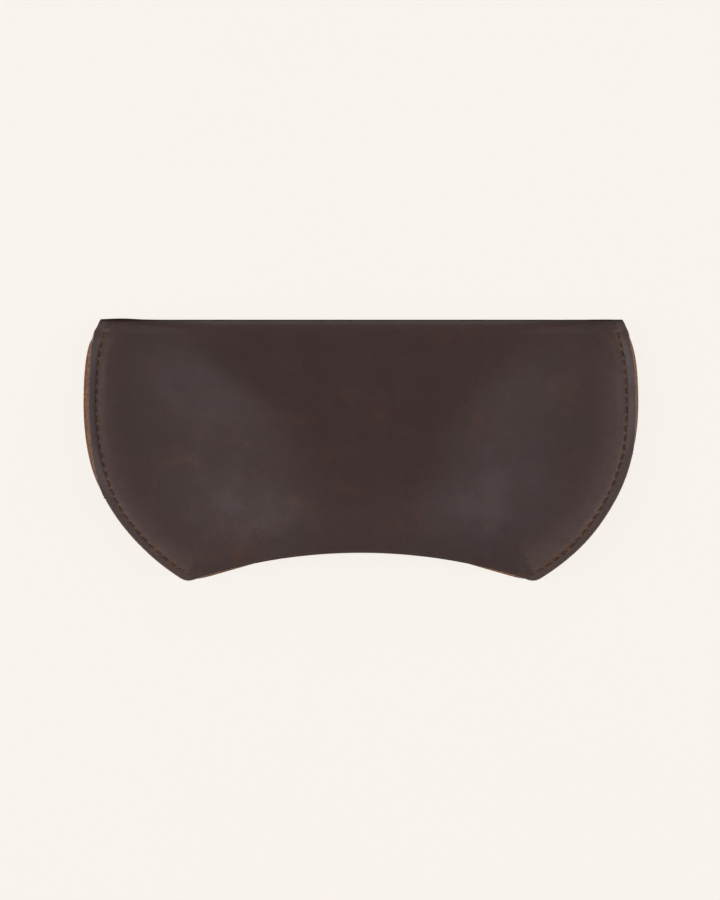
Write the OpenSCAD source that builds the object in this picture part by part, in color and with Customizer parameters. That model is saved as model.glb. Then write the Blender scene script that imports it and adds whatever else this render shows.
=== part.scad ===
// A slip-in eyeglasses case made of one sheet of leather: folded along the top, sewn along both
// curved sides and open along the hollow edge at the bottom. It lies on its back panel, with the
// fold towards +Y, the mouth towards -Y and the front panel facing +Z. The origin is under the
// middle of the case, on the surface that it lies on.

/* [Case outline] */
// Widest width over both side flanges
case_w = 175; // [172:0.5:180]
// Radius of each curved side
side_r = 66.5; // [64:0.5:69]
// How far the widest place lies below the fold
widest_v = 26; // [24:0.5:28]
// How much fuller than plain arcs the sides are, above and below the widest place
fullness = 0.01; // [0:0.002:0.012]
// Height of the panels in the middle, from the fold to the mouth
mouth_v = 73.5; // [71:0.5:76]
// Radius of the hollow mouth edge
mouth_r = 165; // [150:1:190]
// Radius that rounds the two tips beside the mouth
tip_r = 4.5; // [3:0.5:5]

/* [Leather] */
// Thickness of the leather
leather_t = 1.6; // [1.2:0.1:2]
// Width of the sewn flange, from the stitch line to the cut edge, at the fold and the widest place
margin = 3; // [2.6:0.1:3.6]
// Width of the sewn flange at the tips
tip_margin = 2.4; // [2.2:0.1:3]
// Depth of the rounded stretch of leather at the fold
fold_depth = 4.2; // [4.1:0.1:5]
// Clear room inside the fold, measured through the case
fold_room = 4.8; // [4:0.2:6]
// Clear opening of the mouth in the middle, measured through the case
mouth_open = 19.5; // [16:0.5:24]
// How far the left flange curls up, in degrees
curl_left = 36; // [0:1:38]
// How far the right flange curls up, in degrees
curl_right = 20; // [0:1:38]

/* [Stitching] */
// Distance from one needle hole to the next
pitch = 3; // [2.6:0.1:3.6]
// Thickness of the thread
thread_d = 0.6; // [0.5:0.05:0.7]
// Distance of the first needle hole below the fold
first_hole_v = 3.6; // [3:0.1:6]

/* [Hidden] */

leather_colour = [0.27, 0.21, 0.2];
back_colour = [0.25, 0.19, 0.18];
thread_colour = [0.3, 0.17, 0.1];

// Half of the hairline between the two layers where they are sewn together.
half_hairline = 0.05;
// Half of the columns between the stitch lines, the rows down a panel and the steps round the fold.
half_columns = 14;
rows = 22;
fold_steps = 10;
// Where the columns of a flange lie, as shares of its width.
flange_shares = [0.2, 0.5, 0.75, 0.92, 1];
// How far in from the stitch line each panel reaches its full height: at the fold, and at the mouth.
rise_at_fold = 16;
front_rise_at_mouth = 56;
back_rise_at_mouth = 30;
// The curl of each flange ends at these depths below the fold.
curl_left_to_v = 56;
curl_right_to_v = 42;
// Below 1, the curl is strongest above its middle.
curl_lean = 0.8;
// The curl bends the leather over this distance, up to the stitch line.
bend = 5;
// The flange narrows between these depths.
narrows_from_v = 45;
narrows_to_v = 75;
// Rings of a thread for each stitch, its sides, and how sharply it dips into a hole.
rings_per_stitch = 5;
thread_sides = 6;
dip_power = 0.45;

// v is the depth below the fold, and each side is an arc about (side_x, widest_v).
side_x = case_w / 2 - side_r;
mouth_centre_v = mouth_v + mouth_r;
stitch_r = side_r - margin;
tip_side_r = stitch_r + tip_margin;

// The line from the side arc's centre to the mouth arc's centre.
centres_gap = norm([side_x, mouth_centre_v - widest_v]);
centres_angle = atan2(mouth_centre_v - widest_v, -side_x);

// The angle at which a circle about the side's centre meets a circle about the mouth's centre.
function meeting_angle(r, about_mouth_r) = centres_angle
    - acos((r * r + centres_gap * centres_gap - about_mouth_r * about_mouth_r) / (2 * r * centres_gap));

// The tip is a circle inside the narrowed flange's arc and outside the mouth arc.
tip_centre_r = tip_side_r - tip_r;
tip_centre_angle = meeting_angle(tip_centre_r, mouth_r + tip_r);
tip_centre = [side_x + tip_centre_r * cos(tip_centre_angle),
    widest_v + tip_centre_r * sin(tip_centre_angle)];
mouth_centre = [0, mouth_centre_v];
tip_joins_mouth = mouth_centre + (tip_centre - mouth_centre) * mouth_r / (mouth_r + tip_r);
tip_joins_r = norm(tip_joins_mouth - [side_x, widest_v]);
case_v = tip_centre[1] + tip_r;
fold_y = case_v / 2;

// Where a circle about the side's centre ends at the mouth.
function end_angle(r) = r <= tip_joins_r
    ? meeting_angle(r, mouth_r)
    : tip_centre_angle + acos(min(1, (r * r + tip_centre_r * tip_centre_r - tip_r * tip_r)
        / (2 * r * tip_centre_r)));
function end_v(r) = widest_v + r * sin(end_angle(r));
function half_width(r, v) = side_x + sqrt(r * r - (v - widest_v) * (v - widest_v));

// The seam's plane tilts, so that the middle of the back panel lies flat.
fold_half = half_hairline + fold_room / 2 + leather_t;
seam_slope = (mouth_open - fold_room) / 2 / mouth_v;
function seam_z(v) = fold_half + seam_slope * v;

// From 0 at the stitch line to 1 at the full height.
function rise(share) = (1 - cos(180 * max(0, min(1, share)))) / 2;
function rise_length(at_mouth, v) = rise_at_fold + (at_mouth - rise_at_fold) * min(1, v / mouth_v);
function inset(x, v) = half_width(stitch_r, v) - abs(x);

// How far the inner face of each panel stands off the seam's plane.
function full_room(v) = fold_room / 2 + seam_slope * v;
function front_room(x, v) = half_hairline
    + full_room(v) * rise(inset(x, v) / rise_length(front_rise_at_mouth, v));
function back_room(x, v) = half_hairline
    + full_room(v) * rise(inset(x, v) / rise_length(back_rise_at_mouth, v));

// The full tilt of a flange at a depth below the fold.
function curl(side, v) =
    let (share = (v - fold_depth) / ((side < 0 ? curl_left_to_v : curl_right_to_v) - fold_depth))
    share <= 0 || share >= 1
        ? 0
        : (side < 0 ? curl_left : curl_right) * (1 - pow(abs(2 * pow(share, curl_lean) - 1), 3));

// Columns from the left cut edge to the right one: [side, share of the half width, flange share].
flange_count = len(flange_shares);
columns = concat(
    [for (i = [flange_count - 1:-1:0]) [-1, 1, flange_shares[i]]],
    [for (i = [-half_columns:half_columns]) [sign(i), sin(90 * abs(i) / half_columns), 0]],
    [for (share = flange_shares) [1, 1, share]]);

// The depth at which a column ends at the mouth.
stitch_end_x = side_x + stitch_r * cos(end_angle(stitch_r));
function mouth_edge_v(x) = abs(x) <= tip_joins_mouth[0]
    ? mouth_centre_v - sqrt(mouth_r * mouth_r - x * x)
    : tip_centre[1] + sqrt(tip_r * tip_r - pow(abs(x) - tip_centre[0], 2));
function column_end_v(column) = column[2] > 0
    ? end_v(stitch_r + tip_margin * column[2])
    : mouth_edge_v(column[1] * stitch_end_x);

// A point near the seam, at a distance out from the stitch line and at a height above the seam's
// plane. The curl turns it: first round a bend, then straight on at the full tilt.
function seam_point(side, d, v, height) =
    let (angle = asin((v - widest_v) / (stitch_r + d)))
    let (full = curl(side, v))
    let (tilt = full * max(0, min(1, (d + bend) / bend)))
    let (bend_r = full == 0 ? 0 : bend / (full * PI / 180))
    let (past = max(0, d))
    let (out = full == 0 ? d : bend_r * sin(tilt) - bend + past * cos(tilt))
    let (up = full == 0 ? 0 : bend_r * (1 - cos(tilt)) + past * sin(tilt))
    let (r = stitch_r + out - height * sin(tilt))
    let (v_there = widest_v + r * sin(angle))
    [side * (side_x + r * cos(angle)), fold_y - v_there,
        seam_z(v_there) + up + height * cos(tilt)];
function column_x(column, v) = column[0] * column[1] * half_width(stitch_r, v);

// The width of the flange at a depth below the fold.
function margin_at(v) =
    let (share = max(0, min(1, (v - narrows_from_v) / (narrows_to_v - narrows_from_v))))
    margin + (tip_margin - margin) * share * share * (3 - 2 * share);

function row_v(column, row) = fold_depth + (column_end_v(column) - fold_depth) * row / rows;
// The stitch line's own depth in the same row sets how wide the row is.
function row_x(column, row) = column[0] * column[1]
    * half_width(stitch_r, row_v([1, 1, 0], row));
function out_from_stitches(x, v) = abs(x) < side_x
    ? -side_x
    : norm([abs(x) - side_x, v - widest_v]) - stitch_r;

// A point of a panel, at a height above the seam's plane.
function panel_point(x, v, height) =
    let (d = out_from_stitches(x, v))
    d > -bend ? seam_point(sign(x), d, v, height) : [x, fold_y - v, seam_z(v) + height];

function flange_point(column, v, height) =
    seam_point(column[0], margin_at(v) * column[2], v, height);
function front_point(column, row, offset) =
    let (x = row_x(column, row), v = row_v(column, row))
    column[2] > 0
        ? flange_point(column, v, half_hairline + offset)
        : panel_point(x, v, front_room(x, v) + offset);
function back_point(column, row, offset) =
    let (x = row_x(column, row), v = row_v(column, row))
    column[2] > 0
        ? flange_point(column, v, -half_hairline - offset)
        : panel_point(x, v, -back_room(x, v) - offset);

// A point round the fold: the angle goes from 90 at the front panel to -90 at the back panel.
function fold_room_at(column, angle) = column[2] > 0
    ? half_hairline
    : (angle > 0 ? front_room(column_x(column, fold_depth), fold_depth)
        : back_room(column_x(column, fold_depth), fold_depth));
function fold_point(column, angle, offset) =
    let (v = fold_depth - (fold_depth - leather_t + offset) * cos(angle))
    let (x = column[2] > 0
        ? column[0] * half_width(stitch_r + margin * column[2], v)
        : column_x(column, v))
    [x, fold_y - v, seam_z(v) + (fold_room_at(column, angle) + offset) * sin(angle)];

// The sides are a little fuller than plain arcs, most at these distances above and below the
// widest place.
fullest_above = 20;
fullest_below = 36;
function fuller(point) =
    let (below = fold_y - point[1] - widest_v)
    let (share = below < 0 ? -below / fullest_above : below / fullest_below)
    [point[0] * (1 + fullness * pow(sin(90 * share), 2)), point[1], point[2]];

// Closes the space between two grids of points, given as columns of rows, into one solid.
module sheet(outer, inner) {
    across = len(outer);
    down = len(outer[0]);
    half = across * down;
    points = concat([for (c = outer) for (p = c) fuller(p)], [for (c = inner) for (p = c) fuller(p)]);
    function quad(a, b, c, d) = [[a, b, c], [a, c, d]];
    faces = concat(
        [for (i = [0:across - 2]) for (j = [0:down - 2])
            for (f = quad(i * down + j, (i + 1) * down + j, (i + 1) * down + j + 1, i * down + j + 1)) f],
        [for (i = [0:across - 2]) for (j = [0:down - 2])
            for (f = quad(half + i * down + j, half + i * down + j + 1, half + (i + 1) * down + j + 1,
                half + (i + 1) * down + j)) f],
        [for (i = [0:across - 2]) for (j = [0, down - 1])
            let (a = i * down + j, b = (i + 1) * down + j)
            for (f = j == 0 ? quad(b, a, half + a, half + b) : quad(a, b, half + b, half + a)) f],
        [for (i = [0, across - 1]) for (j = [0:down - 2])
            let (a = i * down + j, b = a + 1)
            for (f = i == 0 ? quad(a, b, half + b, half + a) : quad(b, a, half + a, half + b)) f]);
    polyhedron(points = points, faces = faces, convexity = 6);
}

module front_panel() {
    color(leather_colour)
    sheet(
        [for (c = columns) [for (j = [0:rows]) front_point(c, j, leather_t)]],
        [for (c = columns) [for (j = [0:rows]) front_point(c, j, 0)]]);
}

module back_panel() {
    color(back_colour)
    sheet(
        [for (c = columns) [for (j = [0:rows]) back_point(c, j, 0)]],
        [for (c = columns) [for (j = [0:rows]) back_point(c, j, leather_t)]]);
}

module top_fold() {
    angles = [for (k = [0:fold_steps]) -90 + 180 * k / fold_steps];
    color(leather_colour)
    sheet(
        [for (c = columns) [for (a = angles) fold_point(c, a, leather_t)]],
        [for (c = columns) [for (a = angles) fold_point(c, a, 0)]]);
}

// The stitches follow the stitch line from the first hole to the last one short of the mouth.
first_hole_angle = asin((first_hole_v - widest_v) / stitch_r);
step_angle = pitch / stitch_r * 180 / PI;
last_hole_margin = 1.6;
stitches = floor((end_angle(stitch_r) - first_hole_angle
    - last_hole_margin / stitch_r * 180 / PI) / step_angle);

// The middle of a thread after a number of stitches. The face is 1 in front and -1 behind.
function thread_point(side, face, stitch) =
    let (v = widest_v + stitch_r * sin(first_hole_angle + step_angle * stitch))
    let (low = half_hairline + thread_d * 0.6)
    let (high = half_hairline + leather_t + thread_d * 0.3)
    seam_point(side, 0, v, face * (low + (high - low) * pow(abs(sin(180 * stitch)), dip_power)));

// A thread is a tube round the points of its path.
module thread(side, face) {
    rings = stitches * rings_per_stitch;
    path = [for (k = [0:rings]) fuller(thread_point(side, face, k / rings_per_stitch))];
    function along(k) = let (d = path[min(rings, k + 1)] - path[max(0, k - 1)]) d / norm(d);
    function outward(k) = let (d = cross(along(k), [0, 0, 1])) d / norm(d);
    points = [for (k = [0:rings]) for (n = [0:thread_sides - 1])
        let (a = 360 * n / thread_sides)
        path[k] + thread_d / 2 * (cos(a) * outward(k) + sin(a) * cross(outward(k), along(k)))];
    walls = [for (k = [0:rings - 1]) for (n = [0:thread_sides - 1])
        let (a = k * thread_sides + n, b = k * thread_sides + (n + 1) % thread_sides)
        for (f = [[a, b + thread_sides, b], [a, a + thread_sides, b + thread_sides]]) f];
    ends = concat(
        [for (n = [1:thread_sides - 2]) [0, n, n + 1]],
        [for (n = [1:thread_sides - 2]) [for (q = [0, n + 1, n]) rings * thread_sides + q]]);
    color(thread_colour)
    polyhedron(points = points, faces = concat(walls, ends), convexity = 6);
}

module left_needle_thread() {
    thread(-1, 1);
}

module left_bobbin_thread() {
    thread(-1, -1);
}

module right_needle_thread() {
    thread(1, 1);
}

module right_bobbin_thread() {
    thread(1, -1);
}

front_panel();
back_panel();
top_fold();
left_needle_thread();
left_bobbin_thread();
right_needle_thread();
right_bobbin_thread();
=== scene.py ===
"""The looks of an eyeglasses case: one folded sheet of oiled leather, sewn with four threads.

The CAD frame gives the places and the outer size. Lengths below are in millimetres, and v is the
depth below the fold, as in the CAD source. Every mesh is made in metres, in the frame's own axes.
A pair of values belongs to the left and the right side of the case.
"""

import math

import bpy
import numpy as np
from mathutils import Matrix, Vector, noise


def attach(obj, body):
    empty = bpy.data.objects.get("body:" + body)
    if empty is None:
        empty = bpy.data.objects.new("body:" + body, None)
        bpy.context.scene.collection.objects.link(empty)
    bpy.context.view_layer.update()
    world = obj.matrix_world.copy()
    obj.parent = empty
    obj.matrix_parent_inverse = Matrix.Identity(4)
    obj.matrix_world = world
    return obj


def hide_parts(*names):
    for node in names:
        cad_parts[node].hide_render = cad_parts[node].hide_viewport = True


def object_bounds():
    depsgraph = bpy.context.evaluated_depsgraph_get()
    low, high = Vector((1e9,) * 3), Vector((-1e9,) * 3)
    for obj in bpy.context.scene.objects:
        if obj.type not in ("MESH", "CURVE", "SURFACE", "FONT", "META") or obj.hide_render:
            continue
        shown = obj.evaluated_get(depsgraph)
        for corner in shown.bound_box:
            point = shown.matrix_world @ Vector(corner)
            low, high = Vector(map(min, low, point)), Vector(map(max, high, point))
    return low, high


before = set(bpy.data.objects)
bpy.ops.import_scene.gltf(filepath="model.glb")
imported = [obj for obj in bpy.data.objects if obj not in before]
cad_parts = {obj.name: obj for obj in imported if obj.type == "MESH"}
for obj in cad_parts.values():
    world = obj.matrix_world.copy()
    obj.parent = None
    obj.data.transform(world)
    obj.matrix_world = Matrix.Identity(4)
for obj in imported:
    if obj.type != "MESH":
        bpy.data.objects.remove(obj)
cad_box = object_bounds()

MM = 0.001

# The outline, as in the CAD source.
CASE_W = 175.0
SIDE_R = 66.5
WIDEST_V = 26.0
FULLNESS = 0.01
FULLEST_ABOVE, FULLEST_BELOW = 20.0, 36.0
MOUTH_V = 73.5
MOUTH_R = 165.0
TIP_R = 4.5

# The left end of the fold keeps only this share of the fullness, which comes back over this depth.
FULLNESS_KEPT, KEPT_OVER_V = 0.1, 9.0
# The right side is this much fuller again about this depth near its tip.
TIP_FULLNESS, TIP_FULLEST_V, TIP_FULL_REACH = 0.006, 72.0, 8.0

# The leather, the seam and the thread, as in the CAD source, but with a thinner thread.
LEATHER_T = 1.6
MARGIN = 3.0
TIP_MARGIN = 2.4
NARROWS_FROM_V, NARROWS_TO_V = 45.0, 75.0
FOLD_ROOM = 4.8
MOUTH_OPEN = 19.5
HAIRLINE = 0.05
PITCH = 3.0
THREAD_D = 0.44
FIRST_HOLE_V = 3.6
LAST_HOLE_MARGIN = 1.6

# Half the gap between the two layers at the ends of the fold, and the depth at which it has shut.
CORNER_GAP = 0.35
GAP_SHUT_V = 5.0

# How the flanges curl up: the tilt in degrees, the depths between which they curl, the depth over
# which the curl sets in, a lean below 1 towards its upper end, and the length of the leather's bend.
CURL = (36.0, 20.0)
CURL_FROM_V = 2.4
CURL_TO_V = (56.0, 42.0)
CURL_EASE = 4.0
CURL_LEAN = 0.8
CURL_LEVEL_POWER = 3
BEND = 5.0

# How far in from its seam the front panel takes to rise: at the fold, and at the depth RISE_V, from
# where the length grows by a factor of e over each RISE_GROWS_OVER of depth.
RISE_AT_FOLD = (36.0, 42.0)
RISE_BELOW = (51.0, 55.0)
RISE_V, RISE_GROWS_OVER = 20.0, 22.0
# The rise ends at the flat middle at the latest. This is half its width at the fold, and how much
# narrower that gets for each unit of depth.
MIDDLE_AT_FOLD = (14.0, 27.0)
MIDDLE_NARROWS = (0.06, 0.25)
# The power with which two lengths blend into each other.
BLEND_POWER = 4
# Above 1, the front panel leaves its seams more gently than it levels out.
FRONT_RISE_POWER = 1.4
# The front panel stands lower by this share at the mouth, from this depth on and over this depth.
RELAXED, RELAXES_FROM_V, RELAXES_OVER = 0.18, 48.0, 28.0
BACK_RISE_AT_FOLD, BACK_RISE_AT_MOUTH = 16.0, 30.0

# The fold stands up a little near its ends, down to this depth: where, over what reach, how far.
POP_ENDS_V = 7.0
POPS = [(-76.0, 6.5, 0.45), (76.0, 6.0, 0.08)]

FOLD_Y = cad_box[1].y / MM
SIDE_X = CASE_W / 2 - SIDE_R
STITCH_R = SIDE_R - MARGIN
TIP_SIDE_R = STITCH_R + TIP_MARGIN
MOUTH_CENTRE_V = MOUTH_V + MOUTH_R
CENTRES_GAP = math.hypot(SIDE_X, MOUTH_CENTRE_V - WIDEST_V)
CENTRES_ANGLE = math.atan2(MOUTH_CENTRE_V - WIDEST_V, -SIDE_X)
FOLD_HALF = HAIRLINE + FOLD_ROOM / 2 + LEATHER_T
SEAM_SLOPE = (MOUTH_OPEN - FOLD_ROOM) / 2 / MOUTH_V
PANEL_STARTS_V = CORNER_GAP + LEATHER_T


# ---------------------------------------------------------------- short ways


def smooth(t):
    """From 0 to 1 as t goes from 0 to 1, with level ends."""
    t = np.clip(t, 0, 1)
    return t * t * (3 - 2 * t)


def bell(distance, reach):
    """1 at no distance, falling smoothly to a third at the reach and to nothing beyond."""
    return np.exp(-((distance / reach) ** 2))


def at_side(side, pair):
    """The left or the right value of a pair, where the side is -1 or 1."""
    return np.where(side < 0, *pair)


def unit(a):
    return a / np.linalg.norm(a, axis=-1, keepdims=True)


# ---------------------------------------------------------------- the outline


def meeting_angle(r, about_mouth_r):
    """The angle at which a circle about the side's centre meets one about the mouth's centre."""
    cosine = (r * r + CENTRES_GAP**2 - about_mouth_r**2) / (2 * r * CENTRES_GAP)
    return CENTRES_ANGLE - math.acos(cosine)


TIP_CENTRE_R = TIP_SIDE_R - TIP_R
TIP_CENTRE_ANGLE = meeting_angle(TIP_CENTRE_R, MOUTH_R + TIP_R)
TIP_CENTRE = np.array(
    [
        SIDE_X + TIP_CENTRE_R * math.cos(TIP_CENTRE_ANGLE),
        WIDEST_V + TIP_CENTRE_R * math.sin(TIP_CENTRE_ANGLE),
    ]
)
MOUTH_CENTRE = np.array([0.0, MOUTH_CENTRE_V])
TIP_JOINS_MOUTH = MOUTH_CENTRE + (TIP_CENTRE - MOUTH_CENTRE) * MOUTH_R / (MOUTH_R + TIP_R)
TIP_JOINS_R = math.dist(TIP_JOINS_MOUTH, (SIDE_X, WIDEST_V))


def end_angle(r):
    """The angle at which a circle about the side's centre ends, at the mouth or the rounded tip."""
    if r <= TIP_JOINS_R:
        return meeting_angle(r, MOUTH_R)
    cosine = (r * r + TIP_CENTRE_R**2 - TIP_R**2) / (2 * r * TIP_CENTRE_R)
    return TIP_CENTRE_ANGLE + math.acos(min(1.0, cosine))


def end_v(r):
    return WIDEST_V + r * math.sin(end_angle(r))


def half_width(r, v):
    return SIDE_X + np.sqrt(np.maximum(r * r - (v - WIDEST_V) ** 2, 0))


def margin_at(v):
    """The width of the flange at a depth: hand cut, and narrower at the tips."""
    share = (v - NARROWS_FROM_V) / (NARROWS_TO_V - NARROWS_FROM_V)
    return MARGIN + (TIP_MARGIN - MARGIN) * smooth(share)


def mouth_edge_v(x):
    if abs(x) <= TIP_JOINS_MOUTH[0]:
        return MOUTH_CENTRE_V - math.sqrt(MOUTH_R**2 - x * x)
    return TIP_CENTRE[1] + math.sqrt(TIP_R**2 - (abs(x) - TIP_CENTRE[0]) ** 2)


def seam_z(v):
    return FOLD_HALF + SEAM_SLOPE * v


def fuller(x, v):
    """The sides are a little fuller than plain arcs, but not at the left end of the fold."""
    below = v - WIDEST_V
    share = np.where(below < 0, -below / FULLEST_ABOVE, below / FULLEST_BELOW)
    kept = np.where(x < 0, FULLNESS_KEPT + (1 - FULLNESS_KEPT) * smooth(v / KEPT_OVER_V), 1.0)
    near_tip = np.where(x > 0, TIP_FULLNESS * bell(v - TIP_FULLEST_V, TIP_FULL_REACH), 0.0)
    return x * (1 + FULLNESS * kept * np.sin(math.pi / 2 * share) ** 2 + near_tip)


# ---------------------------------------------------------------- the case's own shape


def rise_length(v, side):
    """How far in from the seam the front panel takes to rise: short at the fold, long below it."""
    middle = at_side(side, MIDDLE_AT_FOLD) - at_side(side, MIDDLE_NARROWS) * v
    far = half_width(STITCH_R, v) - middle
    below = at_side(side, RISE_BELOW) * np.exp((v - RISE_V) / RISE_GROWS_OVER)
    near = (at_side(side, RISE_AT_FOLD) ** BLEND_POWER + below**BLEND_POWER) ** (1 / BLEND_POWER)
    return (near**-BLEND_POWER + far**-BLEND_POWER) ** (-1 / BLEND_POWER)


def seam_gap(v):
    """Half the gap between the two layers at the seam: a little open at the fold, then shut."""
    shut = smooth((v - PANEL_STARTS_V) / (GAP_SHUT_V - PANEL_STARTS_V))
    return HAIRLINE + (CORNER_GAP - HAIRLINE) * (1 - shut)


def full_room(v):
    """How far the middle of a panel's inner face stands off the seam's plane."""
    return HAIRLINE + FOLD_ROOM / 2 + SEAM_SLOPE * v


def risen(x, v, length, power, full):
    """The room of a panel that rises from its seams over a length, and then stays full."""
    share = np.clip((half_width(STITCH_R, v) - np.abs(x)) / length, 0, 1)
    rise = (1 - np.cos(math.pi * share**power)) / 2
    return seam_gap(v) + (full - seam_gap(v)) * rise


def front_room(x, v):
    relaxed = 1 - RELAXED * smooth((v - RELAXES_FROM_V) / RELAXES_OVER)
    return risen(x, v, rise_length(v, np.sign(x)), FRONT_RISE_POWER, full_room(v) * relaxed)


def back_room(x, v):
    length = BACK_RISE_AT_FOLD + (BACK_RISE_AT_MOUTH - BACK_RISE_AT_FOLD) * np.minimum(1, v / MOUTH_V)
    return risen(x, v, length, 1, full_room(v))


def curl(side, v):
    """The full tilt of a flange at a depth, in radians."""
    share = np.clip((v - CURL_FROM_V) / (at_side(side, CURL_TO_V) - CURL_FROM_V), 0, 1)
    eased = smooth((v - CURL_FROM_V) / CURL_EASE)
    level = 1 - np.abs(2 * share**CURL_LEAN - 1) ** CURL_LEVEL_POWER
    return np.radians(at_side(side, CURL)) * eased * level


def seam_point(side, d, v, height):
    """A point near the seam, at a distance out from the stitch line and a height off its plane."""
    angle = np.arcsin(np.clip((v - WIDEST_V) / (STITCH_R + d), -1, 1))
    least_tilt = 1e-5
    full = np.maximum(curl(side, v), least_tilt)
    tilt = full * np.clip((d + BEND) / BEND, 0, 1)
    bend_r = BEND / full
    past = np.maximum(0, d)
    out = np.where(d < -BEND, d, bend_r * np.sin(tilt) - BEND + past * np.cos(tilt))
    up = bend_r * (1 - np.cos(tilt)) + past * np.sin(tilt)
    r = STITCH_R + out - height * np.sin(tilt)
    there = WIDEST_V + r * np.sin(angle)
    return side * (SIDE_X + r * np.cos(angle)), there, seam_z(there) + up + height * np.cos(tilt)


# ---------------------------------------------------------------- the grid of the sheet

# Columns lie at these distances in from the stitch line, and at these shares of the flange's width.
INWARD = [0.22, 0.44, 0.7, 1.0, 1.35, 1.75, 2.2, 2.7, 3.3, 4.0, 4.9, 6.0, 7.2]
OUTWARD = [0.07, 0.15, 0.24, 0.34, 0.44, 0.54, 0.64, 0.73, 0.81, 0.88, 0.94, 0.98, 1.0]
# The number of columns inside those in each half, and of steps round a quarter turn of the fold.
MIDDLE_COLUMNS = 32
FOLD_STEPS = 8
# Rows follow the stitches, and the last ones lie at these distances from the mouth's edge.
ROWS_PER_STITCH = 6
EDGE_STEPS = [0.0, 0.08, 0.2, 0.34, 0.6]
# Rows nearer than these shares of a panel to the fold's row or to the edge's rows are left out.
CLEAR_OF_FOLD, CLEAR_OF_EDGE = 0.004, 0.002
# Turns a distance into a share of a panel, across it or down it.
TYPICAL_HALF_WIDTH = 75.0

STITCH_END_X = SIDE_X + STITCH_R * math.cos(end_angle(STITCH_R))
FIRST_HOLE_ANGLE = math.asin((FIRST_HOLE_V - WIDEST_V) / STITCH_R)
STEP_ANGLE = PITCH / STITCH_R
STITCHES = int((end_angle(STITCH_R) - FIRST_HOLE_ANGLE - LAST_HOLE_MARGIN / STITCH_R) / STEP_ANGLE)


def columns():
    """Each column's side, its share of the half width, and its share of the flange."""
    inner_shares = [1 - d / TYPICAL_HALF_WIDTH for d in reversed(INWARD)]
    middle = [inner_shares[0] * i / MIDDLE_COLUMNS for i in range(MIDDLE_COLUMNS)]
    half = [(1, s, 0.0) for s in [*middle, *inner_shares, 1.0]] + [(1, 1.0, d) for d in OUTWARD]
    left = [(-1, s, d) for _, s, d in reversed(half[1:])]
    return np.array(left + half, float).T


SIDE, SHARE, OUT = (a[:, None] for a in columns())


def row_shares():
    """How far down a panel each row lies, from 0 at the fold to 1 at the mouth."""
    start = PANEL_STARTS_V
    end = end_v(STITCH_R)
    step = STEP_ANGLE / ROWS_PER_STITCH
    before = int((FIRST_HOLE_ANGLE - math.asin((start - WIDEST_V) / STITCH_R)) / step)
    after = int((end_angle(STITCH_R) - FIRST_HOLE_ANGLE) / step)
    angles = FIRST_HOLE_ANGLE + step * np.arange(-before, after + 1)
    shares = (WIDEST_V + STITCH_R * np.sin(angles) - start) / (end - start)
    edge = [1 - e / TYPICAL_HALF_WIDTH for e in EDGE_STEPS]
    inside = shares[(shares > CLEAR_OF_FOLD) & (shares < edge[-1] - CLEAR_OF_EDGE)]
    return np.array([0.0, *inside, *reversed(edge)])


def column_ends():
    """The depth at which each column meets the mouth's edge."""
    shares = zip(SHARE[:, 0], OUT[:, 0], strict=True)
    ends = [
        end_v(STITCH_R + TIP_MARGIN * out) if out > 0 else mouth_edge_v(share * STITCH_END_X)
        for share, out in shares
    ]
    return np.array(ends)[:, None]


def column_x(stitch_v):
    """Where each column inside the seam lies across the case, beside the stitch line's own depth."""
    return SIDE * SHARE * half_width(STITCH_R, stitch_v)


def fold_radius(room):
    """The inner radius of the fold at each column: the room just below the fold, which it sets."""
    first_guess, rounds = 2.0, 6
    radius = np.full(SHARE.shape, first_guess)
    for _ in range(rounds):
        radius = room(column_x(PANEL_STARTS_V), radius + LEATHER_T)
    return np.where(OUT > 0, CORNER_GAP, radius)


def out_from_stitches(x, v):
    """The distance of each grid point out from the stitch line, less than 0 inside it."""
    radial = np.hypot(np.abs(x) - SIDE_X, v - WIDEST_V) - STITCH_R
    inside = np.where(np.abs(x) > SIDE_X, np.minimum(radial, 0), -SIDE_X)
    return np.where(OUT > 0, OUT * margin_at(v), inside)


def placed(x, v, room, sign):
    """Points of a face at the room's height off the seam's plane, turned by the flange's curl."""
    d = out_from_stitches(x, v)
    bent = seam_point(SIDE + 0 * x, d, v, sign * room)
    straight = (x, v, seam_z(v) + sign * room)
    return [*(np.where(d > -BEND, a, b) for a, b in zip(bent, straight, strict=True)), d]


def popped(x, v):
    """How far the fold stands up near its ends, where the seams pull it together."""
    return sum(height * bell(x - at, reach) for at, reach, height in POPS) * (1 - smooth(v / POP_ENDS_V))


def panel(room, sign):
    """The inner face of a panel, from the fold to the mouth: x, v, z and distance from the seam."""
    shares = row_shares()[None, :]
    start = fold_radius(room) + LEATHER_T
    v = start + shares * (column_ends() - start)
    x = column_x(PANEL_STARTS_V + shares * (end_v(STITCH_R) - PANEL_STARTS_V))
    height = np.where(OUT > 0, seam_gap(v), room(x, v))
    x, v, z, d = placed(x, v, height, sign)
    return [x, v - popped(x, v), z, d]


def half_fold(room, sign):
    """The inner face of one half of the fold, from its far end to the panel, without the panel's row."""
    radius = fold_radius(room)
    angle = np.linspace(0, math.pi / 2, FOLD_STEPS + 1)[None, :-1]
    v = LEATHER_T + radius * (1 - np.cos(angle))
    outer_v = v - LEATHER_T * np.cos(angle)
    flange_x = SIDE * half_width(STITCH_R + MARGIN * OUT, outer_v)
    x = np.where(OUT > 0, flange_x, column_x(PANEL_STARTS_V * (1 - np.cos(angle))))
    height = np.where(OUT > 0, radius, room(x, v)) * np.sin(angle)
    return [x, v - popped(x, v), seam_z(v) + sign * height, out_from_stitches(x, v)]


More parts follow.
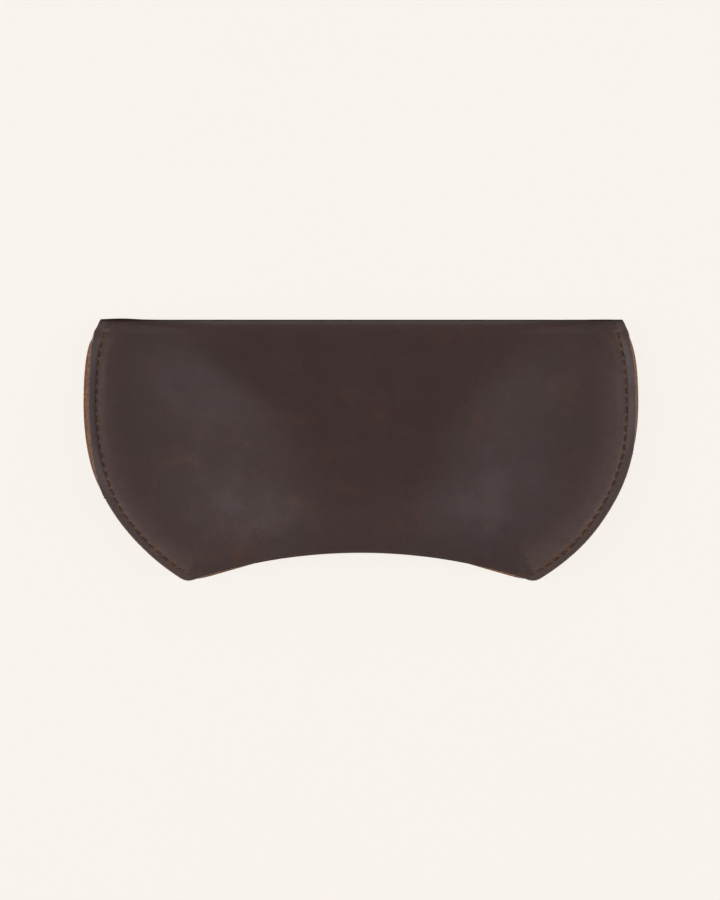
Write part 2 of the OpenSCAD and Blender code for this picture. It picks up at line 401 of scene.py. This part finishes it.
def sheet_grid():
    """The inner face of the whole sheet: front from the mouth up, round the fold, and down the back."""
    front = panel(front_room, 1)
    front_fold = half_fold(front_room, 1)
    back_fold = half_fold(back_room, -1)
    back = panel(back_room, -1)
    parts = zip(front, front_fold, back_fold, back, strict=True)
    joined = [np.concatenate([f[:, ::-1], g[:, ::-1], h[:, 1:], b], axis=1) for f, g, h, b in parts]
    return joined, front[0].shape[1] + FOLD_STEPS


# ---------------------------------------------------------------- the leather

# The edges are rounded off with this radius, and the rim across them has this many steps.
EDGE_ROUND = 0.24
RIM_STEPS = 5
# This many strips of faces along each side's edge show the cut edge's colour on the rounding.
ROUNDED_STRIPS = 2
# Soft waves of the leather, as (height, size, seed), full where it stands this far off the seam's
# plane, and none at the mouth's edge over this distance.
WAVES = [(0.35, 34.0, 3.0), (0.12, 13.0, 11.0)]
WAVES_ROOM, WAVES_FROM_MOUTH = 8.0, 6.0
# Unevenness of the leather's thickness, and of the rough rim, which also bulges a little.
UNEVEN_HEIGHT, UNEVEN_SIZE, UNEVEN_SEED = 0.03, 4.0, 29.0
ROUGH_HEIGHT, ROUGH_SIZE, ROUGH_SEED = 0.05, 0.55, 5.0
RIM_BULGE = 0.04
# How deep the thread presses a hole, a channel and a wide hollow into the leather, each with its
# reach, and how far the leather swells beside them.
HOLE_DEPTH, HOLE_LENGTH, HOLE_WIDTH = 0.26, 0.6, 0.45
CHANNEL_DEPTH, CHANNEL_REACH = 0.12, 0.5
HOLLOW_DEPTH, HOLLOW_REACH = 0.14, 1.6
SWELL_HEIGHT, SWELL_AT, SWELL_REACH = 0.05, 1.9, 0.9
# The back is smooth further in from its seam than this.
BACK_SMOOTH_FROM = 3.0
# The seam's marks fade out over this distance past its ends, and reach this far in at most.
SEAM_FADE = 1.2
SEAM_REACH = 20.0
# The fold has no edge of its own, so it counts as this far from the mouth.
FAR_FROM_MOUTH = 80.0


def low_noise(points, scale, seed):
    """Soft noise from -1 to 1 at each point."""
    flat = points.reshape(-1, 3) / scale + seed
    values = [noise.noise(Vector(p)) for p in flat]
    return np.array(values).reshape(points.shape[:-1])


def along_stitches(x, v):
    """The distance along the stitch line from the first hole."""
    angle = np.arctan2(v - WIDEST_V, np.maximum(np.abs(x) - SIDE_X, 1e-6))
    return (angle - FIRST_HOLE_ANGLE) * STITCH_R


def hole_nearness(d, s):
    """1 in the middle of a needle hole, falling to 0 beside it."""
    nearest = np.clip(np.round(s / PITCH), 0, STITCHES) * PITCH
    return bell(s - nearest, HOLE_LENGTH) * bell(d, HOLE_WIDTH)


def sewn(d, s):
    """1 beside the sewn stretch, falling to 0 past its ends."""
    past_end = (STITCHES * PITCH + SEAM_FADE - s) / SEAM_FADE
    return smooth((s + SEAM_FADE) / SEAM_FADE) * smooth(past_end) * (d > -SEAM_REACH)


def distance_to_mouth():
    """How far each row lies from the mouth's edge."""
    down = (1 - row_shares()) * TYPICAL_HALF_WIDTH
    fold = np.full(2 * FOLD_STEPS - 1, FAR_FROM_MOUTH)
    return np.concatenate([down[::-1], fold, down])[None, :]


def outward_normals(inner):
    """The direction out of the case at each grid point. The front panel comes first and faces up."""
    normal = unit(np.cross(np.gradient(inner, axis=0), np.gradient(inner, axis=1)))
    some_row = 5
    return normal if normal[len(inner) // 2, some_row, 2] > 0 else -normal


def waves(inner, room, to_mouth):
    """How far hand-worked leather waves out of its plain shape."""
    height = sum(h * low_noise(inner, size, seed) for h, size, seed in WAVES)
    return height * np.clip(room / WAVES_ROOM, 0, 1) * smooth(to_mouth / WAVES_FROM_MOUTH)


def thickness(inner, d, holes, near_seam, edge, is_front):
    """The thickness of the leather: rounded off at its edges, and dented by the thread."""
    short = np.maximum(EDGE_ROUND - edge, 0)
    rounded = EDGE_ROUND - np.sqrt(np.maximum(EDGE_ROUND**2 - short**2, 0))
    dented = HOLE_DEPTH * holes
    dented = dented + CHANNEL_DEPTH * bell(d, CHANNEL_REACH) * near_seam
    dented = dented + HOLLOW_DEPTH * bell(d, HOLLOW_REACH) * near_seam
    dented = dented - SWELL_HEIGHT * bell(np.abs(d) - SWELL_AT, SWELL_REACH) * near_seam
    uneven = UNEVEN_HEIGHT * low_noise(inner, UNEVEN_SIZE, UNEVEN_SEED)
    plain = LEATHER_T - rounded
    return np.where((~is_front) & (d < -BACK_SMOOTH_FROM), plain, plain - dented + uneven)


def edge_loop(count_c, count_k):
    """The column and the row of each grid point round the sheet's boundary, once round."""
    c_last, k_last = count_c - 1, count_k - 1
    loop = (
        [(c, 0) for c in range(c_last)]
        + [(c_last, k) for k in range(k_last)]
        + [(c, k_last) for c in range(c_last, 0, -1)]
        + [(0, k) for k in range(k_last, 0, -1)]
    )
    return np.array(loop).T


def rim_points(outer, inner, normal, loop):
    """Rings of points across the cut edge, between the outer face and the inner one."""
    outer_loop, inner_loop = outer[loop[0], loop[1]], inner[loop[0], loop[1]]
    tangent = unit(np.roll(outer_loop, -1, axis=0) - np.roll(outer_loop, 1, axis=0))
    outward = unit(np.cross(normal[loop[0], loop[1]], tangent))
    centre = outer.reshape(-1, 3).mean(axis=0)
    outward *= np.sign(((outer_loop - centre) * outward).sum(axis=1))[:, None]
    rings = []
    for step in range(1, RIM_STEPS):
        share = step / RIM_STEPS
        point = outer_loop * (1 - share) + inner_loop * share
        rough = ROUGH_HEIGHT * low_noise(point, ROUGH_SIZE, ROUGH_SEED)
        rough = rough + RIM_BULGE * math.sin(math.pi * share)
        rings.append(point + outward * rough[:, None])
    return rings


def sheet_faces(count_c, count_k, loop):
    """The faces of the outer side, the inner side and the rim, and each face's material slot."""
    grid = np.arange(count_c * count_k).reshape(count_c, count_k)
    half = count_c * count_k
    a, b, c, e = grid[:-1, :-1], grid[1:, :-1], grid[1:, 1:], grid[:-1, 1:]
    outer_quads = np.stack([a, b, c, e], axis=-1).reshape(-1, 4)
    inner_quads = half + np.stack([a, e, c, b], axis=-1).reshape(-1, 4)
    boundary = grid[loop[0], loop[1]]
    count = len(boundary)
    rings = [2 * half + i * count + np.arange(count) for i in range(RIM_STEPS - 1)]
    rings = [boundary, *rings, half + boundary]
    bands = zip(rings[:-1], rings[1:], strict=True)
    rim_quads = np.concatenate([np.stack([a, b, np.roll(b, -1), np.roll(a, -1)], -1) for a, b in bands])
    grain, flesh, cut = 0, 1, 2
    outer_slots = np.full((count_c - 1, count_k - 1), grain)
    outer_slots[:ROUNDED_STRIPS] = outer_slots[-ROUNDED_STRIPS:] = cut
    other_slots = np.repeat([flesh, cut], [len(inner_quads), len(rim_quads)])
    faces = np.concatenate([outer_quads, inner_quads, rim_quads])
    return faces, np.concatenate([outer_slots.ravel(), other_slots])


def seam_bend_highlight_share(d, s):
    """How much painted highlight lies on the bend beside the seam: less at the fold, more at the right."""
    least, grows_over, reach = 0.2, 18.0, (5.0, 7.5)
    return (least + (1 - least) * smooth(s / grows_over)) * bell(d, at_side(SIDE, reach)) * (d < 0)


def halo_share(d, s):
    """How much the leather is rubbed tan beside the stitch line, most of all at its ends."""
    middle, start_more, start_reach, end_more, end_reach = 0.55, 0.45, 9.0, 0.6, 24.0
    ends = middle + start_more * bell(s, start_reach) + end_more * bell(s - STITCHES * PITCH, end_reach)
    inside_by, reach = 0.2, 1.25
    return bell(d + inside_by, reach) * ends


def corner_wear(x, v):
    """1 at the four corners of a panel, where handling has lightened the leather."""
    top_x, top_v, top_reach = 81.0, 6.0, 9 / 1.4
    tip_x, tip_v, tip_reach = 56.0, 79.0, 9.0
    across = np.abs(x)
    top = np.hypot(across - top_x, v - top_v)
    tip = np.hypot(across - tip_x, v - tip_v)
    return bell(top, top_reach) + bell(tip, tip_reach)


def fold_highlight_share(x, outer_v):
    """How much painted highlight lies on the roll just below the fold, except towards its ends."""
    light_v, reach, ends_from_x, ends_over = 2.2, 2.2, 52.0, 20.0
    return bell(outer_v - light_v, reach) * (1 - smooth((np.abs(x) - ends_from_x) / ends_over))


def leather_sheet():
    """Makes the leather: its grain side, its flesh side and its cut edge, as one closed mesh."""
    (x, v, z, d), front_rows = sheet_grid()
    count_c, count_k = x.shape
    is_front = np.arange(count_k)[None, :] < front_rows
    plain = np.stack([fuller(x, v), FOLD_Y - v, z], axis=-1)
    normal = outward_normals(plain)
    s = along_stitches(x, v)
    near_seam = sewn(d, s)
    holes = hole_nearness(d, s) * near_seam
    to_mouth = distance_to_mouth()
    edge = np.minimum(to_mouth, margin_at(v) - d)

    inner = plain + normal * waves(plain, z - seam_z(v), to_mouth)[..., None]
    outer = inner + normal * thickness(inner, d, holes, near_seam, edge, is_front)[..., None]
    outer_v = FOLD_Y - outer[..., 1]
    loop = edge_loop(count_c, count_k)
    points = [outer.reshape(-1, 3), inner.reshape(-1, 3), *rim_points(outer, inner, normal, loop)]
    faces, slots = sheet_faces(count_c, count_k, loop)

    fold_line_from, fold_line_over, handled_from_mouth, edge_wear_reach = 0.1, 0.9, 18.0, 0.8
    flange_from, flange_over = 0.2, 0.5
    looks = {
        "halo": halo_share(d, s) * near_seam,
        "seam_bend_highlight": seam_bend_highlight_share(d, s) * near_seam,
        "fold_line": 1 - smooth((outer_v - fold_line_from) / fold_line_over),
        "fold_painted_highlight": fold_highlight_share(x, outer_v) * is_front,
        "hole": holes,
        "flange": smooth((d - flange_from) / flange_over),
        "handled": 1 - smooth(to_mouth / handled_from_mouth),
        "edge_wear": bell(edge, edge_wear_reach),
        "corner_wear": corner_wear(x, v),
        "behind": np.where(is_front, 0.0, 1.0),
    }

    def everywhere(values):
        """Spreads a value of the grid over the outer, inner and rim points."""
        values = np.broadcast_to(values, (count_c, count_k)).astype(float)
        at_rim = values[loop[0], loop[1]]
        return np.concatenate([values.ravel(), values.ravel(), np.tile(at_rim, RIM_STEPS - 1)])

    attributes = {name: everywhere(values) for name, values in looks.items()}
    return make_mesh("leather_sheet", np.concatenate(points), faces.tolist(), slots, attributes)


# In the leather, faces that meet at more degrees than this are shaded with a sharp edge.
SHARP_ANGLE = 50


def make_mesh(name, points, faces, slots=None, attributes=None):
    """A smooth mesh object from points in millimetres. A mesh with slots also gets its sharp edges."""
    mesh = bpy.data.meshes.new(name)
    mesh.from_pydata((points * MM).tolist(), [], faces)
    for key, values in (attributes or {}).items():
        layer = mesh.attributes.new(key, "FLOAT", "POINT")
        layer.data.foreach_set("value", values.astype(np.float32))
    mesh.polygons.foreach_set("use_smooth", np.ones(len(mesh.polygons), bool))
    if slots is not None:
        mesh.polygons.foreach_set("material_index", slots.astype(np.int32))
    mesh.update()
    if slots is not None:
        mesh.set_sharp_from_angle(angle=math.radians(SHARP_ANGLE))
    made = bpy.data.objects.new(name, mesh)
    bpy.context.scene.collection.objects.link(made)
    return made


# ---------------------------------------------------------------- thread

STRANDS = 3
STRAND_SIDES = 7
STRAND_SHARE = 0.52
RINGS_PER_STITCH = 22
TWIST_LENGTH = 1.7
# The height of the thread's middle over the leather's inner face, in a hole and on top of a stitch.
HOLE_HEIGHT, TOP_HEIGHT = 0.5, LEATHER_T - 0.04
# Where the thread leaves a hole and where it lies flat again, as the sine along each stitch.
LEAVES_HOLE, LIES_FLAT_OVER = 0.44, 0.36
# How much the stitches differ: in length, in place beside the line and in height; and their slant.
UNEVEN_LENGTH, UNEVEN_PLACE, UNEVEN_TOP = 0.07, 0.05, 0.04
SLANT = 0.12
FIRST_SEED = 7


def thread_path(side, face):
    """The middle of a thread: over each stitch along the surface, and down into every hole."""
    stitch = np.linspace(0, STITCHES, STITCHES * RINGS_PER_STITCH + 1)
    angle = FIRST_HOLE_ANGLE + STEP_ANGLE * stitch
    which = np.minimum(np.floor(stitch), STITCHES - 1).astype(int)
    length, place, top = np.random.default_rng(FIRST_SEED + side).uniform(-1, 1, (3, STITCHES))
    within = np.abs(np.sin(math.pi * stitch))
    lift = smooth((within - LEAVES_HOLE - UNEVEN_LENGTH * length[which]) / LIES_FLAT_OVER)
    v = WIDEST_V + STITCH_R * np.sin(angle)
    aside = (SLANT * (stitch % 1 - 0.5) + UNEVEN_PLACE * place[which]) * lift
    height = HOLE_HEIGHT + (TOP_HEIGHT - HOLE_HEIGHT + UNEVEN_TOP * top[which]) * lift
    x, v, z = seam_point(side, aside, v, face * (seam_gap(v) + height))
    return np.stack([fuller(x, v), FOLD_Y - v, z], axis=-1)


def across(path):
    """Two directions across a path at each of its points."""
    tangent = unit(np.gradient(path, axis=0))
    out = unit(np.cross(tangent, [0.0, 0.0, 1.0]))
    return out, np.cross(out, tangent)


def tube(path, radius, sides):
    """The points and faces of a closed tube round a path."""
    out, up = across(path)
    turn = np.linspace(0, 2 * math.pi, sides, endpoint=False)[None, :, None]
    rings = path[:, None] + radius * (np.cos(turn) * out[:, None] + np.sin(turn) * up[:, None])
    index = np.arange(len(path) * sides).reshape(len(path), sides)
    a, b = index[:-1], index[1:]
    walls = np.stack([a, np.roll(a, -1, 1), np.roll(b, -1, 1), b], axis=-1).reshape(-1, 4)
    return rings.reshape(-1, 3), walls.tolist() + [index[0, ::-1].tolist(), index[-1].tolist()]


def thread(name, side, face):
    """Three strands laid round each other."""
    path = thread_path(side, face)
    out, up = across(path)
    length = np.concatenate([[0], np.cumsum(np.linalg.norm(np.diff(path, axis=0), axis=1))])
    strand_r = THREAD_D / 2 * STRAND_SHARE
    points, faces = [], []
    for strand in range(STRANDS):
        turn = (2 * math.pi * (length / TWIST_LENGTH + strand / STRANDS))[:, None]
        middle = path + (THREAD_D / 2 - strand_r) * (np.cos(turn) * out + np.sin(turn) * up)
        some, walls = tube(middle, strand_r, STRAND_SIDES)
        start = strand * len(some)
        points.append(some)
        faces += [[i + start for i in f] for f in walls]
    return make_mesh(name, np.concatenate(points), faces)


# ---------------------------------------------------------------- materials


class Nodes:
    """Short ways to add shader nodes to one material."""

    def __init__(self, name):
        self.material = bpy.data.materials.new(name)
        self.material.use_nodes = True
        self.tree = self.material.node_tree
        self.shader = self.tree.nodes["Principled BSDF"]
        self.coords = self.tree.nodes.new("ShaderNodeTexCoord").outputs["Object"]

    def link(self, value, socket):
        if isinstance(value, bpy.types.NodeSocket):
            self.tree.links.new(value, socket)
        else:
            socket.default_value = value

    def noise(self, scale, detail=4, roughness=0.55, distortion=0.0, at=None):
        node = self.tree.nodes.new("ShaderNodeTexNoise")
        self.link(at or self.coords, node.inputs["Vector"])
        node.inputs["Scale"].default_value = scale
        node.inputs["Detail"].default_value = detail
        node.inputs["Roughness"].default_value = roughness
        node.inputs["Distortion"].default_value = distortion
        return node.outputs["Fac"]

    def cells(self, scale, feature="DISTANCE_TO_EDGE", at=None):
        node = self.tree.nodes.new("ShaderNodeTexVoronoi")
        node.feature = feature
        self.link(at or self.coords, node.inputs["Vector"])
        node.inputs["Scale"].default_value = scale
        return node.outputs["Distance"]

    def stretched(self, factors, turn=(0, 0, 0)):
        node = self.tree.nodes.new("ShaderNodeMapping")
        self.link(self.coords, node.inputs["Vector"])
        node.inputs["Scale"].default_value = factors
        node.inputs["Rotation"].default_value = turn
        return node.outputs["Vector"]

    def swirled(self, scale, reach):
        """The object's coordinates, pushed about by noise over a distance in metres."""
        node = self.tree.nodes.new("ShaderNodeTexNoise")
        self.link(self.coords, node.inputs["Vector"])
        node.inputs["Scale"].default_value = scale
        push = self.tree.nodes.new("ShaderNodeVectorMath")
        push.operation = "MULTIPLY_ADD"
        self.link(node.outputs["Color"], push.inputs[0])
        push.inputs[1].default_value = (reach, reach, reach)
        self.link(self.coords, push.inputs[2])
        return push.outputs["Vector"]

    def attribute(self, name):
        node = self.tree.nodes.new("ShaderNodeAttribute")
        node.attribute_name = name
        return node.outputs["Fac"]

    def ranged(self, value, low, high, to_low=0.0, to_high=1.0):
        node = self.tree.nodes.new("ShaderNodeMapRange")
        node.interpolation_type = "SMOOTHSTEP"
        for socket, item in zip(node.inputs, (value, low, high, to_low, to_high), strict=False):
            self.link(item, socket)
        return node.outputs["Result"]

    def math(self, operation, a, b=0.0):
        node = self.tree.nodes.new("ShaderNodeMath")
        node.operation = operation
        self.link(a, node.inputs[0])
        self.link(b, node.inputs[1])
        return node.outputs["Value"]

    def mix(self, share, a, b, blend="MIX"):
        node = self.tree.nodes.new("ShaderNodeMix")
        node.data_type = "RGBA"
        node.blend_type = blend
        self.link(share, node.inputs["Factor"])
        for item, socket in ((a, node.inputs["A"]), (b, node.inputs["B"])):
            for s in node.inputs:
                if s.name == socket.name and s.type == "RGBA":
                    self.link(item if isinstance(item, bpy.types.NodeSocket) else (*item, 1), s)
        return next(s for s in node.outputs if s.type == "RGBA")

    def bump(self, height, strength, distance, under=None):
        node = self.tree.nodes.new("ShaderNodeBump")
        self.link(height, node.inputs["Height"])
        node.inputs["Strength"].default_value = strength
        node.inputs["Distance"].default_value = distance
        if under is not None:
            self.link(under, node.inputs["Normal"])
        return node.outputs["Normal"]

    def surface(self, colour, roughness, normal, **constants):
        self.link(colour, self.shader.inputs["Base Color"])
        self.link(roughness, self.shader.inputs["Roughness"])
        self.link(normal, self.shader.inputs["Normal"])
        for key, value in constants.items():
            self.shader.inputs[key.replace("_", " ")].default_value = value
        return self.material


# The colours of the grain side: the plain leather, its rusty mottles, a painted highlight on the bend
# beside the seam, a painted reflection of the soft boxes on the flange, a painted highlight on the roll
# just below the fold, and fine speckles.
BROWN, COOL_BROWN = (0.0425, 0.0208, 0.0208), (0.0402, 0.0215, 0.022)
RUST = (0.069, 0.0275, 0.0175)
SEAM_BEND_PAINTED_HIGHLIGHT = (0.08, 0.051, 0.0495)
FLANGE_PAINTED_REFLECTION = (0.082, 0.058, 0.06)
FOLD_PAINTED_HIGHLIGHT = (0.062, 0.036, 0.034)
SPECKLE_BROWN = (0.058, 0.031, 0.026)
# Its worn places: the halo round the stitches, the corners, the edges, and the scratches.
HALO_TAN = (0.13, 0.068, 0.042)
CORNER_TAN = (0.082, 0.052, 0.04)
EDGE_BROWN = (0.07, 0.04, 0.03)
SCRATCH_BROWN = (0.07, 0.045, 0.036)
# The needle holes: the frayed leather round them, and painted shade inside them. The fold's far side gets
# a painted dark line of shade.
FRAYED_TAN, HOLE_PAINTED_SHADE = (0.12, 0.068, 0.042), (0.012, 0.006, 0.004)
FOLD_LINE_PAINTED_SHADE = (0.014, 0.009, 0.008)


def worn_places(n, colour, blotch, halo):
    """Lightens the leather round the stitches, at the corners and along the edges."""
    colour = n.mix(n.ranged(halo, 0.05, 0.8, 0, 0.9), colour, HALO_TAN)
    for name, worn in (("corner_wear", CORNER_TAN), ("edge_wear", EDGE_BROWN)):
        share = n.math("MULTIPLY", n.attribute(name), blotch)
        colour = n.mix(n.ranged(share, 0.1, 1.0, 0, 0.5), colour, worn)
    hole = n.attribute("hole")
    frayed = n.math("MULTIPLY", hole, n.ranged(n.noise(1300, 2), 0.35, 0.6, 0.35, 1.0))
    colour = n.mix(n.ranged(frayed, 0.2, 0.7, 0, 0.85), colour, FRAYED_TAN)
    # painted shade inside the needle holes
    return n.mix(n.ranged(hole, 0.9, 0.99, 0, 0.8), colour, HOLE_PAINTED_SHADE)


def grain_colour(n, blotch, halo):
    """The colour of the grain side, layer by layer."""
    clouds = n.noise(30, 4, 0.55, 0.4)
    colour = n.mix(n.ranged(clouds, 0.35, 0.65), BROWN, COOL_BROWN)
    mottle = n.ranged(n.noise(95, 6, 0.7, 0.25), 0.5, 0.72)
    colour = n.mix(n.math("MULTIPLY", mottle, n.ranged(clouds, 0.65, 0.35, 0.25, 1.0)), colour, RUST)
    uneven = n.ranged(n.noise(240, 6, 0.7), 0.3, 0.7, 0.7, 1.15)
    # painted highlight on the bend beside the seam, made uneven by noise
    colour = n.mix(n.math("MULTIPLY", n.attribute("seam_bend_highlight"), uneven), colour, SEAM_BEND_PAINTED_HIGHLIGHT)
    # painted reflection of the soft boxes: the flange drawn lighter and greyer
    colour = n.mix(n.math("MULTIPLY", n.attribute("flange"), 0.7), colour, FLANGE_PAINTED_REFLECTION)
    # painted highlight on the roll just below the fold
    colour = n.mix(n.math("MULTIPLY", n.attribute("fold_painted_highlight"), 0.4), colour, FOLD_PAINTED_HIGHLIGHT)
    colour = n.mix(n.ranged(n.noise(900, 3, 0.6), 0.35, 0.75, 0, 0.3), colour, SPECKLE_BROWN)
    colour = worn_places(n, colour, blotch, halo)
    # painted shade: a dark line along the fold's far side
    colour = n.mix(n.math("MULTIPLY", n.attribute("fold_line"), 0.8), colour, FOLD_LINE_PAINTED_SHADE)
    scratches = n.noise(260, 2, 0.5, at=n.stretched((1, 0.06, 1), (0, 0, 0.9)))
    return n.mix(n.ranged(scratches, 0.68, 0.8, 0, 0.25), colour, SCRATCH_BROWN)


def grain_height(n):
    """The fine relief of the grain: wrinkles, pebbles, creases between them, and pores."""
    swirled = n.swirled(260, 0.0007)
    wrinkles = n.math("MULTIPLY", n.noise(160, 6, 0.6, 1.0), 1.5)
    pebbles = n.math("MULTIPLY", n.cells(2300, "SMOOTH_F1", swirled), 0.9)
    height = n.math("SUBTRACT", wrinkles, pebbles)
    height = n.math("ADD", height, n.ranged(n.cells(620, at=swirled), 0.0, 0.12, -0.22, 0.0))
    return n.math("ADD", height, n.ranged(n.cells(3400, "F1"), 0.05, 0.3, -0.35, 0.0))


def grain_roughness(n, halo):
    """Half shiny with oil, and duller round the stitches, by the mouth and at the fold's far side."""
    roughness = n.ranged(n.noise(130, 5, 0.6), 0.3, 0.7, 0.42, 0.52)
    duller = ((halo, 0.14), (n.attribute("handled"), 0.16), (n.attribute("fold_line"), 0.3))
    for share, amount in duller:
        roughness = n.math("ADD", roughness, n.math("MULTIPLY", share, amount))
    return roughness


def grain_leather():
    """Dark brown oiled leather: mottled, finely grained and lighter where it has been rubbed, with painted
    highlights on the bends beside the seams and below the fold, a painted reflection on the flanges, and
    painted shade in the needle holes and along the fold's far side.
    """
    n = Nodes("grain_leather")
    blotch = n.ranged(n.noise(420, 4, 0.65), 0.3, 0.7, 0.45, 1.0)
    streaks = n.ranged(n.noise(760, 5, 0.75, 0.6), 0.36, 0.64, 0.05, 1.45)
    halo = n.math("MULTIPLY", n.attribute("halo"), n.math("MULTIPLY", blotch, streaks))
    n.link(n.ranged(n.attribute("fold_line"), 0, 1, 0.36, 0.03), n.shader.inputs["Specular IOR Level"])
    return n.surface(
        grain_colour(n, blotch, halo),
        grain_roughness(n, halo),
        n.bump(grain_height(n), 0.35, 0.00006),
        Sheen_Weight=0.02,
        Sheen_Roughness=0.6,
    )


FLESH_BROWN, PALE_FLESH_BROWN, NAP_TAN = (0.075, 0.04, 0.025), (0.11, 0.062, 0.04), (0.16, 0.1, 0.068)


def flesh_leather():
    """The inner, unfinished side: a short warm brown nap."""
    n = Nodes("flesh_leather")
    nap = n.noise(1400, 5, 0.7)
    patches = n.noise(70, 4, 0.6, 0.8)
    colour = n.mix(n.ranged(patches, 0.35, 0.7), FLESH_BROWN, PALE_FLESH_BROWN)
    colour = n.mix(n.ranged(nap, 0.3, 0.7, 0, 0.6), colour, NAP_TAN)
    return n.surface(
        colour,
        n.ranged(nap, 0.2, 0.8, 0.85, 1.0),
        n.bump(n.math("ADD", nap, n.noise(420, 4, 0.6)), 0.7, 0.00016),
        Specular_IOR_Level=0.2,
        Sheen_Weight=0.35,
        Sheen_Roughness=0.5,
    )


# The dark and the light lumps of the cut edge, in front and behind, and the fibres over both.
FRONT_EDGE = (0.12, 0.068, 0.048), (0.25, 0.15, 0.108)
BACK_EDGE = (0.085, 0.029, 0.011), (0.34, 0.125, 0.04)
FIBRE_BROWN = (0.09, 0.042, 0.02)


def cut_edge():
    """The raw cut edge: pinkish tan fibres in front, and a more orange brown behind."""
    n = Nodes("cut_edge")
    fibres = n.noise(1500, 5, 0.7)
    lumps = n.noise(950, 5, 0.7)
    front = n.mix(n.ranged(lumps, 0.35, 0.65), *FRONT_EDGE)
    back = n.mix(n.ranged(lumps, 0.34, 0.66), *BACK_EDGE)
    colour = n.mix(n.attribute("behind"), front, back)
    colour = n.mix(n.ranged(fibres, 0.45, 0.75, 0, 0.4), colour, FIBRE_BROWN)
    return n.surface(
        colour,
        n.ranged(fibres, 0.2, 0.8, 0.75, 0.98),
        n.bump(n.math("ADD", fibres, lumps), 0.8, 0.00018),
        Specular_IOR_Level=0.25,
        Sheen_Weight=0.15,
    )


THREAD_BROWN, WORN_THREAD, LOOSE_FIBRES = (0.045, 0.0165, 0.0085), (0.1, 0.038, 0.0175), (0.13, 0.06, 0.03)


def waxed_thread():
    """Dark brown waxed thread with a faint shine along its fibres."""
    n = Nodes("waxed_thread")
    fibres = n.noise(5200, 3, 0.6, at=n.stretched((1, 1, 0.4)))
    worn = n.noise(300, 3, 0.5)
    colour = n.mix(n.ranged(worn, 0.35, 0.7), THREAD_BROWN, WORN_THREAD)
    colour = n.mix(n.ranged(fibres, 0.5, 0.8, 0, 0.5), colour, LOOSE_FIBRES)
    return n.surface(
        colour,
        n.ranged(fibres, 0.3, 0.7, 0.42, 0.62),
        n.bump(fibres, 0.5, 0.00004),
        Specular_IOR_Level=0.45,
        Sheen_Weight=0.1,
    )


# The cream of the table top and of the studio round it, and two tones of what the table reflects.
CREAM = (0.939, 0.896, 0.847, 1)
DIM_CREAM, PALE_CREAM = (0.078, 0.0744, 0.0703), (0.08, 0.0764, 0.0722)
GLOW = 0.94


def studio_floor():
    """A plain cream table top, lit from within so that it stays even."""
    n = Nodes("studio_floor")
    colour = n.mix(n.ranged(n.noise(8, 2, 0.5), 0.3, 0.7), DIM_CREAM, PALE_CREAM)
    n.shader.inputs["Emission Color"].default_value = CREAM
    n.shader.inputs["Emission Strength"].default_value = GLOW
    return n.surface(colour, 0.9, n.bump(n.noise(900, 2), 0.02, 0.00002), Specular_IOR_Level=0.0)


# ---------------------------------------------------------------- the pieces

leather = leather_sheet()
for material in (grain_leather(), flesh_leather(), cut_edge()):
    leather.data.materials.append(material)
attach(leather, "root")
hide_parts("front_panel", "back_panel", "top_fold")

thread_material = waxed_thread()
for place, side in (("left", -1), ("right", 1)):
    for kind, face in (("needle", 1), ("bobbin", -1)):
        piece = thread(f"{place}_{kind}_stitching", side, face)
        piece.data.materials.append(thread_material)
        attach(piece, "root")
        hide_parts(f"{place}_{kind}_thread")


# ---------------------------------------------------------------- the studio, in metres

FLOOR_REACH = 4.0
WORLD_STRENGTH = 0.13
SOFT_WHITE, WHITE = (1.0, 0.94, 0.925), (1, 1, 1)
# Each soft box: its name, place, size, watts and colour. All point at the case.
SOFT_BOXES = [
    ("left_box", (-0.95, 0.0, 1.15), (0.6, 1.3), 10.2, SOFT_WHITE),
    ("right_box", (0.95, 0.0, 1.15), (0.6, 1.3), 8.3, SOFT_WHITE),
    ("far_box", (0, 1.25, 0.85), (1.4, 0.4), 1.5, WHITE),
    ("low_left_box", (-1.3, 0, 0.6), (0.4, 1.4), 2, WHITE),
    ("low_right_box", (1.3, 0, 0.6), (0.4, 1.4), 2, WHITE),
]

# The camera looks straight down. It sees this height of the plane on which the case's edge lies.
CAMERA_PLACE = (-0.0002, -0.0001, 1.4)
SEEN_HEIGHT, EDGE_PLANE_Z = 0.2841, 0.008
SENSOR = 36


def floor(z):
    r = FLOOR_REACH
    mesh = bpy.data.meshes.new("floor")
    mesh.from_pydata([(-r, -r, z), (r, -r, z), (r, r, z), (-r, r, z)], [], [(0, 1, 2, 3)])
    made = bpy.data.objects.new("floor", mesh)
    made.data.materials.append(studio_floor())
    bpy.context.scene.collection.objects.link(made)


def soft_box(name, place, size, watts, colour):
    lamp = bpy.data.lights.new(name, "AREA")
    lamp.shape = "RECTANGLE"
    lamp.size, lamp.size_y = size
    lamp.energy = watts
    lamp.color = colour
    made = bpy.data.objects.new(name, lamp)
    made.location = place
    made.rotation_euler = (-Vector(place)).to_track_quat("-Z", "Y").to_euler()
    made.visible_camera = False
    bpy.context.scene.collection.objects.link(made)


def studio():
    floor(cad_box[0].z)
    world = bpy.data.worlds.new("studio")
    world.use_nodes = True
    back = world.node_tree.nodes["Background"]
    back.inputs["Color"].default_value = CREAM
    back.inputs["Strength"].default_value = WORLD_STRENGTH
    bpy.context.scene.world = world
    for box in SOFT_BOXES:
        soft_box(*box)
    bpy.context.scene.view_settings.view_transform = "Standard"


def camera():
    data = bpy.data.cameras.new("camera")
    data.sensor_width = SENSOR
    data.lens = SENSOR * (CAMERA_PLACE[2] - EDGE_PLANE_Z) / SEEN_HEIGHT
    made = bpy.data.objects.new("camera", data)
    made.location = CAMERA_PLACE
    bpy.context.scene.collection.objects.link(made)
    bpy.context.scene.camera = made


studio()
camera()
